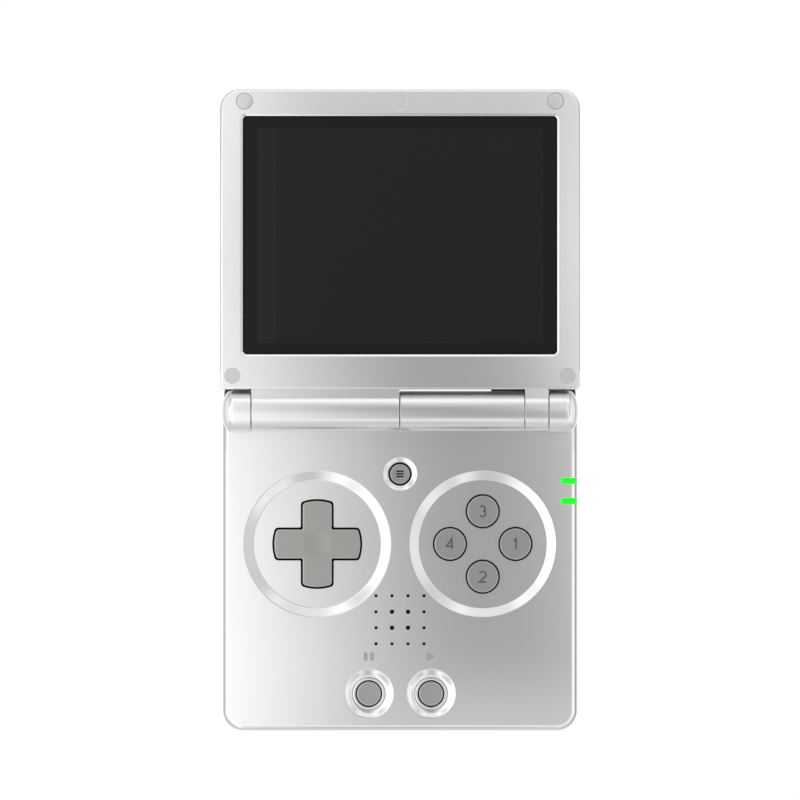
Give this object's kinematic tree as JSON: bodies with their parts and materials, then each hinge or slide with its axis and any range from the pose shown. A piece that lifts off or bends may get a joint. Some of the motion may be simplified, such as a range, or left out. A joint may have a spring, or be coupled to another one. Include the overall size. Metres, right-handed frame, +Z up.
{
  "type": "handheld lcd game",
  "caption": "Clamshell handheld game, open flat: screen lid on a barrel hinge over a base with a direction pad, round buttons, speaker holes, shoulder buttons and side controls.",
  "frame": {"origin": "on the table, straight under the middle of the hinge axis, with the lid open flat", "axes": "+X to the player's right along the hinge, +Y from the base to the lid, +Z up out of the playing face"},
  "size_m": [0.089, 0.1586, 0.026],
  "materials": {
    "shell": "satin metallic silver",
    "button": "fine matt grey",
    "dark_plastic": "fine matt dark grey",
    "jack_plastic": "matt black",
    "silicone": "soft matt",
    "foot_rubber": "matt",
    "gasket_foam": "matt foam",
    "bumper": "matt",
    "cover_glass": "polished, black border behind",
    "lcd": "dark polariser",
    "backlight": "white reflector",
    "board": "green solder mask",
    "battery_foil": "wrapped foil pouch",
    "wire": "insulated wire",
    "steel": "plain steel",
    "screw": "blackened steel",
    "magnet": "nickel plated",
    "speaker_frame": "matt",
    "mesh": "black woven mesh",
    "flex": "amber film",
    "light": "clear, lit green"
  },
  "bodies": {
    "base": {"base_front_shell": "shell", "base_rear_shell": "shell", "battery_door": "shell", "battery_door_screw": "screw", "battery_pack": "battery_foil", "battery_lead": "wire", "main_board": "board", "processor_shield": "steel", "dpad_membrane": "silicone", "action_membrane": "silicone", "menu_membrane": "silicone", "option_membrane": "silicone", "speaker": "speaker_frame", "speaker_mesh": "mesh", "vibration_motor": "steel", "usb_socket": "steel", "video_socket": "steel", "headphone_socket": "jack_plastic", "card_sockets": "steel", "status_light_pipes": "light", "shoulder_switches": "jack_plastic", "side_switches": "jack_plastic", "control_pins": "steel", "rear_case_screws": "screw", "rubber_feet": "foot_rubber", "left_hinge_cap": "shell", "right_hinge_cap": "shell", "hinge_clutch": "steel", "hinge_bush": "dark_plastic", "hinge_pivot_pin": "steel", "ribbon_base_tail": "flex", "option_button_rings": "shell"},
    "lid": {"lid_front_bezel": "shell", "lid_back_shell": "shell", "screen_glass": "cover_glass", "lcd_panel": "lcd", "lcd_backlight": "backlight", "lcd_gasket": "gasket_foam", "closing_magnet": "magnet", "lid_screws": "screw", "lid_bumpers": "bumper", "hinge_cam": "steel", "ribbon_lid_tail": "flex"},
    "dpad_ball": {"dpad_ball": "steel"},
    "dpad": {"dpad": "button"},
    "action_button_right": {"action_button_right": "button"},
    "action_button_front": {"action_button_front": "button"},
    "action_button_rear": {"action_button_rear": "button"},
    "action_button_left": {"action_button_left": "button"},
    "option_button_left": {"option_button_left": "button"},
    "option_button_right": {"option_button_right": "button"},
    "menu_button": {"menu_button": "button"},
    "power_button": {"power_button": "dark_plastic"},
    "reset_button": {"reset_button": "dark_plastic"},
    "volume_rocker": {"volume_rocker": "dark_plastic"},
    "shoulder_left_outer": {"shoulder_left_outer": "dark_plastic"},
    "shoulder_left_inner": {"shoulder_left_inner": "dark_plastic"},
    "shoulder_right_outer": {"shoulder_right_outer": "dark_plastic"},
    "shoulder_right_inner": {"shoulder_right_inner": "dark_plastic"},
    "memory_card": {"memory_card": "jack_plastic"}
  },
  "joints": [
    {"name": "lid_hinge", "type": "hinge", "parent": "base", "child": "lid", "pos_m": [0, 0, 0.02075], "axis": [1, 0, 0], "range_deg": [0, 180]},
    {"name": "dpad_tip_front_back", "type": "hinge", "parent": "base", "child": "dpad_ball", "pos_m": [-0.02048, -0.03285, 0.012], "axis": [1, 0, 0], "range_deg": [-3, 3], "stiffness_Nm_per_rad": 0.1, "deforming": ["dpad_membrane"]},
    {"name": "dpad_tip_left_right", "type": "hinge", "parent": "dpad_ball", "child": "dpad", "pos_m": [-0.02048, -0.03285, 0.012], "axis": [0, 1, 0], "range_deg": [-3, 3], "stiffness_Nm_per_rad": 0.1, "deforming": ["dpad_membrane"]},
    {"name": "action_right_press", "type": "slide", "parent": "base", "child": "action_button_right", "axis": [0, 0, -1], "range_m": [0, 0.001], "stiffness_N_per_m": 300, "springref_m": -0.001, "deforming": ["action_membrane"]},
    {"name": "action_front_press", "type": "slide", "parent": "base", "child": "action_button_front", "axis": [0, 0, -1], "range_m": [0, 0.001], "stiffness_N_per_m": 300, "springref_m": -0.001, "deforming": ["action_membrane"]},
    {"name": "action_rear_press", "type": "slide", "parent": "base", "child": "action_button_rear", "axis": [0, 0, -1], "range_m": [0, 0.001], "stiffness_N_per_m": 300, "springref_m": -0.001, "deforming": ["action_membrane"]},
    {"name": "action_left_press", "type": "slide", "parent": "base", "child": "action_button_left", "axis": [0, 0, -1], "range_m": [0, 0.001], "stiffness_N_per_m": 300, "springref_m": -0.001, "deforming": ["action_membrane"]},
    {"name": "option_left_press", "type": "slide", "parent": "base", "child": "option_button_left", "axis": [0, 0, -1], "range_m": [0, 0.0008], "stiffness_N_per_m": 300, "springref_m": -0.001, "deforming": ["option_membrane"]},
    {"name": "option_right_press", "type": "slide", "parent": "base", "child": "option_button_right", "axis": [0, 0, -1], "range_m": [0, 0.0008], "stiffness_N_per_m": 300, "springref_m": -0.001, "deforming": ["option_membrane"]},
    {"name": "menu_press", "type": "slide", "parent": "base", "child": "menu_button", "axis": [0, 0, -1], "range_m": [0, 0.0008], "stiffness_N_per_m": 300, "springref_m": -0.001, "deforming": ["menu_membrane"]},
    {"name": "power_press", "type": "slide", "parent": "base", "child": "power_button", "axis": [-1, 0, 0], "range_m": [0, 0.0006], "stiffness_N_per_m": 400, "springref_m": -0.0008},
    {"name": "reset_press", "type": "slide", "parent": "base", "child": "reset_button", "axis": [-1, 0, 0], "range_m": [0, 0.0005], "stiffness_N_per_m": 400, "springref_m": -0.0008},
    {"name": "volume_rock", "type": "hinge", "parent": "base", "child": "volume_rocker", "pos_m": [-0.04105, -0.022, 0.0121], "axis": [0, 0, 1], "range_deg": [-3, 3], "stiffness_Nm_per_rad": 0.05},
    {"name": "shoulder_left_outer_press", "type": "hinge", "parent": "base", "child": "shoulder_left_outer", "pos_m": [-0.0382, 0.0026, 0.0054], "axis": [1, 0, 0], "range_deg": [0, 5], "stiffness_Nm_per_rad": 0.05, "springref_deg": -3.44},
    {"name": "shoulder_left_inner_press", "type": "hinge", "parent": "base", "child": "shoulder_left_inner", "pos_m": [-0.0276, 0.0026, 0.0054], "axis": [1, 0, 0], "range_deg": [0, 5], "stiffness_Nm_per_rad": 0.05, "springref_deg": -3.44},
    {"name": "shoulder_right_outer_press", "type": "hinge", "parent": "base", "child": "shoulder_right_outer", "pos_m": [0.0382, 0.0026, 0.0054], "axis": [1, 0, 0], "range_deg": [0, 5], "stiffness_Nm_per_rad": 0.05, "springref_deg": -3.44},
    {"name": "shoulder_right_inner_press", "type": "hinge", "parent": "base", "child": "shoulder_right_inner", "pos_m": [0.0276, 0.0026, 0.0054], "axis": [1, 0, 0], "range_deg": [0, 5], "stiffness_Nm_per_rad": 0.05, "springref_deg": -3.44},
    {"name": "memory_card_slide", "type": "slide", "parent": "base", "child": "memory_card", "axis": [1, 0, 0], "range_m": [0, 0.012]}
  ]
}
